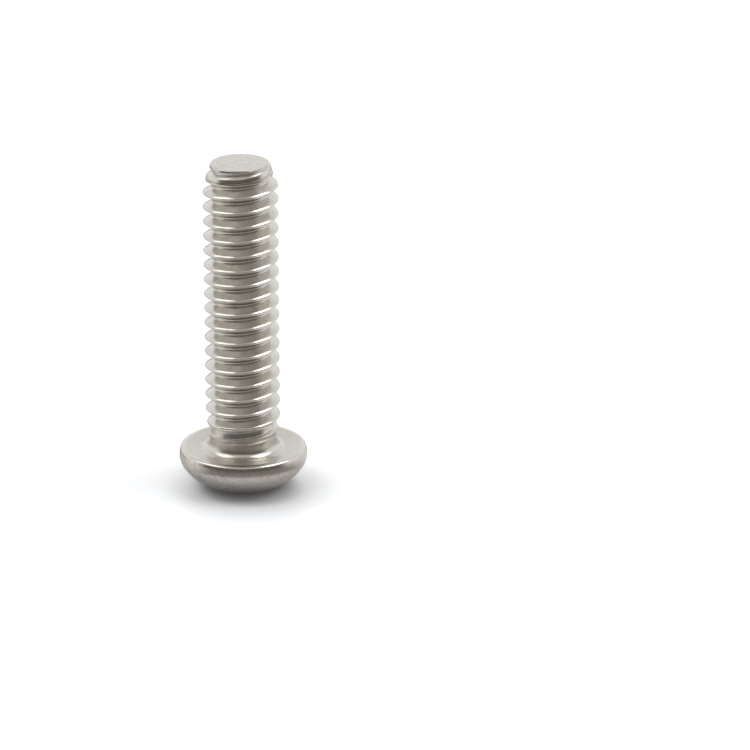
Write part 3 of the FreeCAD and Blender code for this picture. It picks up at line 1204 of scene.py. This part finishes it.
@dataclass(frozen=True)
class Floor:
    """The pale sheet that the screw stands on."""

    half_width: float = 1.2
    colour: Tint = Tint(0.92, 0.94, 0.975)
    lift: float = 0.3
    painted_glow: float = 0.045
    painted_shadow_middle: tuple[float, float, float] = (0.0008, -0.0015, 0.0)
    lift_from: float = 0.0036
    lift_to: float = 0.0085
    # Colours that the steel mirrors from the sheet: a painted reflection of the room, with painted
    # shade near the foot.
    mirrored: Tint = Tint(0.95, 0.93, 0.93)
    mirrored_foot_shade: Tint = Tint(0.64, 0.63, 0.65)
    mirrored_low: Tint = Tint(0.27, 0.25, 0.235)
    mirrored_ahead: Tint = Tint(0.38, 0.355, 0.335)
    mirrored_behind: Tint = Tint(0.5, 0.49, 0.48)
    dark_side: tuple[float, float, float] = (0.225, -0.974, 0.0)
    # Colour of the painted contact shadow round the screw's foot.
    painted_contact_shadow: Tint = Tint(0.6, 0.6, 0.62)
    dim_side: tuple[float, float, float] = (0.545, -0.839, 0.0)
    dimmed: Tint = Tint(0.6, 0.58, 0.56)
    glow: Tint = Tint(0.97, 0.98, 1.0)
    roughness: Span = (0.32, 0.4)
    specular: float = 0.25
    fibre_scale: float = 900.0
    fibre_contrast: Span = (0.3, 0.7)
    wide_grazing: Span = (0.67, 0.76)
    wide_reach: Span = (0.0125, 0.016)
    narrow_sector: Span = (0.42, 0.92)
    wide_sector: Span = (-0.1, 0.6)
    low_grazing: Span = (0.36, 0.56)
    behind_sector: Span = (-0.85, -0.4)
    foot_reach: Span = (0.0035, 0.011)
    dim_sector: Span = (0.6, 1.0)
    dim_reach: Span = (0.008, 0.012)
    contact_shadow_reach: Span = (0.003, 0.0048)
    drop: float = 0.00001

    def build(self) -> bpy.types.Object:
        """Returns:
            The sheet's object.
        """
        bm = bmesh.new()
        bmesh.ops.create_grid(bm, x_segments=1, y_segments=1, size=self.half_width)
        bmesh.ops.translate(bm, vec=(0, 0, -self.drop), verts=bm.verts[:])
        mesh = bpy.data.meshes.new("floor")
        bm.to_mesh(mesh)
        bm.free()
        item = bpy.data.objects.new("floor", mesh)
        bpy.context.scene.collection.objects.link(item)
        mesh.materials.append(self.dress())
        return item

    def dress(self) -> bpy.types.Material:
        """Make the sheet's satin white.

        It is lifted to paper white where it is looked at. The lift is held back round the
        screw's foot, centred a little in front of it, which keeps the cast shadow and paints
        more shadow round it. A darker painted contact shadow lies right at the foot, and a faint
        painted glow stays in the sheet for camera and mirror rays. Its mirror image in the steel is
        a painted reflection that falls off toward the dark side of the room, with painted shade
        near the foot.

        Returns:
            The finished material.
        """
        material = bpy.data.materials.new("floor sheet")
        material.use_nodes = True
        nodes = Nodes(material.node_tree)
        place = nodes.add("ShaderNodeTexCoord").outputs["Object"]
        fibre = nodes.noise(place, self.fibre_scale, detail=3.0, rough=0.6)
        reach = nodes.add("ShaderNodeVectorMath", {0: place}, operation="LENGTH").outputs["Value"]
        apart = nodes.vectors("DISTANCE", place, self.painted_shadow_middle)
        mirrored = self.mirror_image(nodes, place, reach)
        path = nodes.add("ShaderNodeLightPath").outputs
        # Painted contact shadow: for camera rays the sheet is darkened round the screw's foot,
        # centred a little in front of it.
        seen_with_painted_shadow = nodes.mix(
            nodes.range(apart, *self.contact_shadow_reach), self.painted_contact_shadow.rgba(), self.colour.rgba()
        )
        colour = nodes.mix(path["Is Camera Ray"], self.colour.rgba(), seen_with_painted_shadow)
        colour = nodes.mix(path["Is Glossy Ray"], colour, mirrored)
        # The white lift is held back round the foot, which paints shadow there on top of the cast
        # one. A faint painted glow stays under it and in mirror rays.
        lift = nodes.range(apart, self.lift_from, self.lift_to, self.painted_glow, self.lift)
        sheet = nodes.add(
            "ShaderNodeBsdfPrincipled",
            {
                "Base Color": colour,
                "Roughness": nodes.range(fibre, *self.fibre_contrast, *self.roughness),
                "Emission Color": self.glow.rgba(),
                "Emission Strength": nodes.maths(
                    "MULTIPLY_ADD",
                    path["Is Camera Ray"],
                    lift,
                    nodes.times(path["Is Glossy Ray"], self.painted_glow),
                ),
                "Specular IOR Level": self.specular,
            },
        )
        clear = nodes.add("ShaderNodeBsdfTransparent")
        underside = nodes.add("ShaderNodeNewGeometry").outputs["Backfacing"]
        both = nodes.add(
            "ShaderNodeMixShader", {0: underside, 1: sheet.outputs[0], 2: clear.outputs[0]}
        )
        nodes.add("ShaderNodeOutputMaterial", {"Surface": both.outputs[0]})
        return material

    def mirror_image(
        self, nodes: Nodes, place: bpy.types.NodeSocket, reach: bpy.types.NodeSocket
    ) -> bpy.types.NodeSocket:
        """Grade the colour that the steel mirrors, to match the photograph's room.

        Args:
            nodes: The sheet's nodes.
            place: Output with the place on the sheet.
            reach: Output with its distance from the screw's axis.

        Returns:
            The output with the colour.
        """
        # Painted reflection: for mirror rays the sheet is darkened toward the camera's side of the
        # room and near the screw's foot, and paled behind. These colours stand in for the room's
        # light and shade.
        facing = nodes.vectors("DOT_PRODUCT", place, self.dark_side)
        ahead = nodes.maths("DIVIDE", facing, reach)
        grazing = nodes.add("ShaderNodeLayerWeight", {"Blend": 0.5}).outputs["Facing"]
        wide = nodes.maths(
            "MAXIMUM",
            nodes.range(grazing, *self.wide_grazing),
            nodes.range(reach, *self.wide_reach, 1.0, 0.0),
        )
        sector_ends = [
            nodes.blend(wide, *ends) for ends in zip(self.narrow_sector, self.wide_sector)
        ]
        sector = nodes.range(ahead, *sector_ends)
        low = nodes.range(grazing, *self.low_grazing)
        dark = nodes.times(low, sector)
        behind = nodes.times(low, nodes.range(ahead, *self.behind_sector, 1.0, 0.0))
        mirrored = nodes.mix(
            nodes.range(reach, *self.foot_reach), self.mirrored_foot_shade.rgba(), self.mirrored.rgba()
        )
        toward = nodes.vectors("DOT_PRODUCT", place, self.dim_side)
        dim = nodes.times(
            nodes.range(nodes.maths("DIVIDE", toward, reach), *self.dim_sector),
            nodes.range(reach, *self.dim_reach),
        )
        mirrored = nodes.mix(dim, mirrored, self.dimmed.rgba())
        mirrored = nodes.mix(behind, mirrored, self.mirrored_behind.rgba())
        darkest = nodes.mix(wide, self.mirrored_ahead.rgba(), self.mirrored_low.rgba())
        return nodes.mix(dark, mirrored, darkest)


@dataclass(frozen=True)
class Viewpoint:
    """The camera at the photograph's place."""

    location: tuple[float, float, float] = (0.011117, -0.33323, 0.13549)
    tilt: float = math.radians(69.303)
    lens: float = 203.76
    sensor: float = 36.0

    def build(self) -> bpy.types.Object:
        """Set the camera up and make it the scene's.

        Returns:
            The camera's object.
        """
        data = bpy.data.cameras.new("camera")
        data.lens = self.lens
        data.sensor_width = self.sensor
        data.clip_start, data.clip_end = 0.01, 10
        camera = bpy.data.objects.new("camera", data)
        camera.location = self.location
        camera.rotation_euler = (self.tilt, 0, 0)
        bpy.context.scene.collection.objects.link(camera)
        bpy.context.scene.camera = camera
        return camera


LAMPS = (
    Softbox(
        "right softbox", azimuth=87, elevation=54, distance=0.5, width=0.34, height=0.28, radiance=2.3
    ),
    Softbox(
        "left softbox", azimuth=-86, elevation=54, distance=0.5, width=0.38, height=0.28, radiance=1.1
    ),
)


def main() -> None:
    """Build the screw, then the studio round it."""
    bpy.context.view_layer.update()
    screw = Screw().build()
    log.info("%s: %d faces", screw.name, len(screw.data.polygons))
    Floor().build()
    Surround().build()
    for lamp in LAMPS:
        lamp.build()
    Viewpoint().build()
    bpy.context.scene.view_settings.view_transform = "Standard"


if __name__ == "__main__":
    main()
